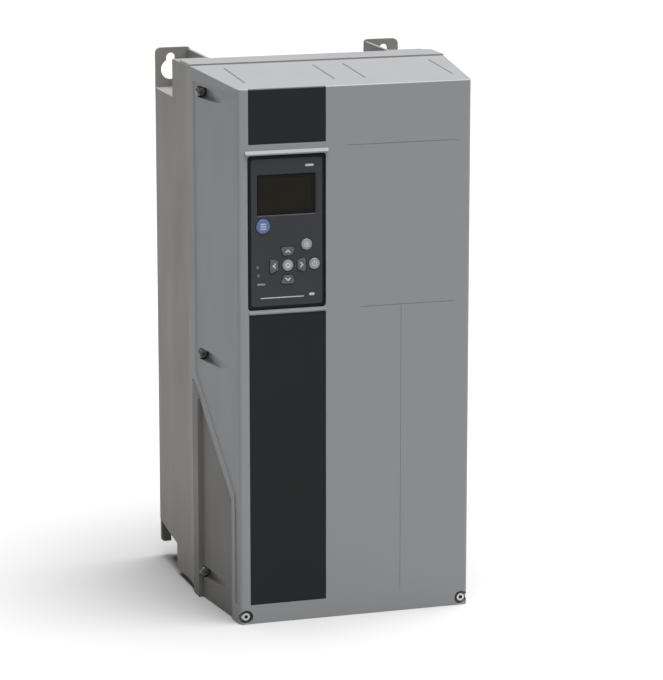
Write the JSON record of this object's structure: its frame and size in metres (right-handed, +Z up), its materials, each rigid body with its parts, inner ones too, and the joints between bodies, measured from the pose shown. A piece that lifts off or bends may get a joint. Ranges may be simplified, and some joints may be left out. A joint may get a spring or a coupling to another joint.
{
  "type": "variable frequency drive",
  "caption": "Wall-mounted variable frequency drive with a removable front cover, a pull-out keypad with screen and keys, a finned heat sink with fans and a cable gland plate.",
  "frame": {"origin": "middle of the bounding box in plan, at the height of the base", "axes": "+X to the right seen from the front, +Y back to the wall, +Z up"},
  "size_m": [0.242, 0.244, 0.494],
  "materials": {
    "housing_paint": "fine satin powder coat, warm grey",
    "frame_paint": "satin powder coat, dark warm grey",
    "cover_plastic": "fine spark-eroded texture",
    "strip_plastic": "satin",
    "black_plastic": "satin",
    "tray_plastic": "satin",
    "aluminium_bare": "extruded, bare",
    "sheet_zinc": "zinc plated",
    "screw_steel": "zinc plated",
    "brass": "turned",
    "board_laminate": "solder mask over glass laminate",
    "module_plastic": "moulded",
    "terminal_green": "moulded",
    "can_sleeve": "shrink sleeve over aluminium",
    "choke_core": "varnished laminations and copper windings",
    "film_capacitor": "boxed film capacitor",
    "seal_rubber": "moulded foam",
    "keypad_shell": "satin gloss",
    "keypad_face": "printed film",
    "screen_glass": "tinted window",
    "screen_module": "liquid crystal module",
    "membrane_rubber": "silicone",
    "lens_plastic": "light pipes",
    "blue_key": "moulded",
    "round_key": "moulded translucent grey",
    "arrow_key": "moulded dark grey"
  },
  "bodies": {
    "chassis": {"back_plate": "housing_paint", "rear_housing": "housing_paint", "lower_frame": "frame_paint", "air_intake": "black_plastic", "fan_frames": "black_plastic", "keypad_cradle": "black_plastic", "keypad_socket": "black_plastic", "gland_plugs": "black_plastic", "control_tray": "tray_plastic", "heat_sink": "aluminium_bare", "heat_sink_fins": "aluminium_bare", "gland_plate": "sheet_zinc", "clamp_rail": "sheet_zinc", "cable_clamps": "sheet_zinc", "fan_grilles": "sheet_zinc", "board_screws": "screw_steel", "gland_screws": "screw_steel", "frame_screws": "screw_steel", "terminal_screws": "screw_steel", "board_standoffs": "brass", "control_standoffs": "brass", "power_board": "board_laminate", "filter_board": "board_laminate", "control_board": "board_laminate", "power_modules": "module_plastic", "mains_terminals": "module_plastic", "motor_terminals": "module_plastic", "relay_terminals": "module_plastic", "control_terminals": "terminal_green", "dc_capacitors": "can_sleeve", "dc_chokes": "choke_core", "filter_chokes": "choke_core", "filter_capacitors": "film_capacitor", "keypad_seal": "seal_rubber", "cover_gasket": "seal_rubber", "gland_gasket": "seal_rubber"},
    "cover": {"front_cover": "cover_plastic", "upper_inlay": "strip_plastic", "lower_inlay": "strip_plastic", "side_screws": "screw_steel", "corner_screws": "screw_steel"},
    "keypad": {"keypad_housing": "keypad_shell", "keypad_faceplate": "keypad_face", "display_window": "screen_glass", "display_module": "screen_module", "keypad_board": "board_laminate", "keypad_membrane": "membrane_rubber", "indicator_lenses": "lens_plastic", "keypad_plug": "black_plastic"},
    "menu_button": {"menu_button": "blue_key"},
    "info_button": {"info_button": "round_key"},
    "ok_button": {"ok_button": "round_key"},
    "power_button": {"power_button": "round_key"},
    "up_key": {"up_key": "arrow_key"},
    "down_key": {"down_key": "arrow_key"},
    "left_key": {"left_key": "arrow_key"},
    "right_key": {"right_key": "arrow_key"},
    "fan_rotor_left": {"fan_rotor_left": "black_plastic"},
    "fan_rotor_right": {"fan_rotor_right": "black_plastic"}
  },
  "joints": [
    {"name": "cover_off", "type": "slide", "parent": "chassis", "child": "cover", "axis": [0, -1, 0], "range_m": [0, 0.2]},
    {"name": "keypad_out", "type": "slide", "parent": "chassis", "child": "keypad", "axis": [0, -1, 0], "range_m": [0, 0.045]},
    {"name": "menu_press", "type": "slide", "parent": "keypad", "child": "menu_button", "axis": [0, 1, 0], "range_m": [0, 0.0008], "stiffness_N_per_m": 900},
    {"name": "info_press", "type": "slide", "parent": "keypad", "child": "info_button", "axis": [0, 1, 0], "range_m": [0, 0.0008], "stiffness_N_per_m": 900},
    {"name": "ok_press", "type": "slide", "parent": "keypad", "child": "ok_button", "axis": [0, 1, 0], "range_m": [0, 0.0008], "stiffness_N_per_m": 900},
    {"name": "power_press", "type": "slide", "parent": "keypad", "child": "power_button", "axis": [0, 1, 0], "range_m": [0, 0.0008], "stiffness_N_per_m": 900},
    {"name": "up_press", "type": "slide", "parent": "keypad", "child": "up_key", "axis": [0, 1, 0], "range_m": [0, 0.0008], "stiffness_N_per_m": 900},
    {"name": "down_press", "type": "slide", "parent": "keypad", "child": "down_key", "axis": [0, 1, 0], "range_m": [0, 0.0008], "stiffness_N_per_m": 900},
    {"name": "left_press", "type": "slide", "parent": "keypad", "child": "left_key", "axis": [0, 1, 0], "range_m": [0, 0.0008], "stiffness_N_per_m": 900},
    {"name": "right_press", "type": "slide", "parent": "keypad", "child": "right_key", "axis": [0, 1, 0], "range_m": [0, 0.0008], "stiffness_N_per_m": 900},
    {"name": "fan_left_spin", "type": "hinge", "parent": "chassis", "child": "fan_rotor_left", "pos_m": [-0.045, 0.075, 0.437], "axis": [0, 0, 1], "continuous": true},
    {"name": "fan_right_spin", "type": "hinge", "parent": "chassis", "child": "fan_rotor_right", "pos_m": [0.045, 0.075, 0.437], "axis": [0, 0, 1], "continuous": true}
  ]
}
